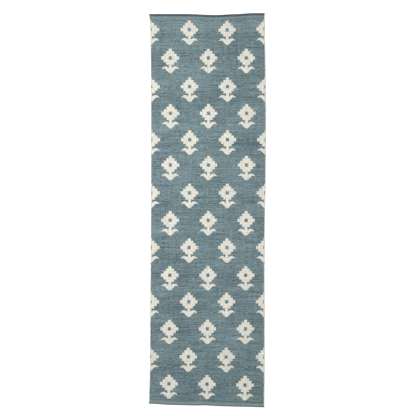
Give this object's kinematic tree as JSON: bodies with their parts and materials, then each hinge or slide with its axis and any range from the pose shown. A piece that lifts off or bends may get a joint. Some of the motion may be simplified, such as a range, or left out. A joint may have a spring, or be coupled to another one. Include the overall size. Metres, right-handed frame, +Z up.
{
  "type": "runner rug",
  "caption": "Long flat-woven runner rug with staggered rows of ivory flowers on a blue-grey ground, overcast selvedges and hemmed ends; folds in half for storage.",
  "frame": {"origin": "middle of the underside, on the floor that the rug lies on", "axes": "+Y along the length towards the end with the navy edge in sight, where the flowers point; +X across the width; +Z up from the floor"},
  "size_m": [0.7, 2.4, 0.0095],
  "materials": {
    "ground_weft": "matt blue-grey wool weft with long pale and dark streaks",
    "ivory_weft": "matt ivory wool weft",
    "warp_cotton": "undyed twisted cotton",
    "selvedge_yarn": "ivory and grey overcast yarn",
    "hem_cloth": "turned blue-grey weave, slightly paler along the fold",
    "hem_thread": "pale grey sewing thread",
    "end_cord": "navy twined cotton cord"
  },
  "bodies": {
    "far_half": {"ground_weave_far": "ground_weft", "flower_eyes_far": "ground_weft", "warp_threads_far": "warp_cotton", "flower_row_01": "ivory_weft", "flower_row_02": "ivory_weft", "flower_row_03": "ivory_weft", "flower_row_04": "ivory_weft", "flower_row_05": "ivory_weft", "flower_row_06": "ivory_weft", "flower_row_07": "ivory_weft", "left_selvedge_core_far": "warp_cotton", "left_selvedge_wrap_far": "selvedge_yarn", "right_selvedge_core_far": "warp_cotton", "right_selvedge_wrap_far": "selvedge_yarn", "far_end_hem": "hem_cloth", "far_hem_stitches": "hem_thread", "far_end_cord": "end_cord"},
    "near_half": {"ground_weave_near": "ground_weft", "flower_eyes_near": "ground_weft", "warp_threads_near": "warp_cotton", "flower_row_08": "ivory_weft", "flower_row_09": "ivory_weft", "flower_row_10": "ivory_weft", "flower_row_11": "ivory_weft", "flower_row_12": "ivory_weft", "flower_row_13": "ivory_weft", "flower_row_14": "ivory_weft", "left_selvedge_core_near": "warp_cotton", "left_selvedge_wrap_near": "selvedge_yarn", "right_selvedge_core_near": "warp_cotton", "right_selvedge_wrap_near": "selvedge_yarn", "near_end_hem": "hem_cloth", "near_hem_stitches": "hem_thread", "near_end_cord": "end_cord"}
  },
  "joints": [
    {"name": "fold_in_half", "type": "hinge", "parent": "far_half", "child": "near_half", "pos_m": [0, 0, 0.00965], "axis": [-1, 0, 0], "range_deg": [0, 180]}
  ]
}
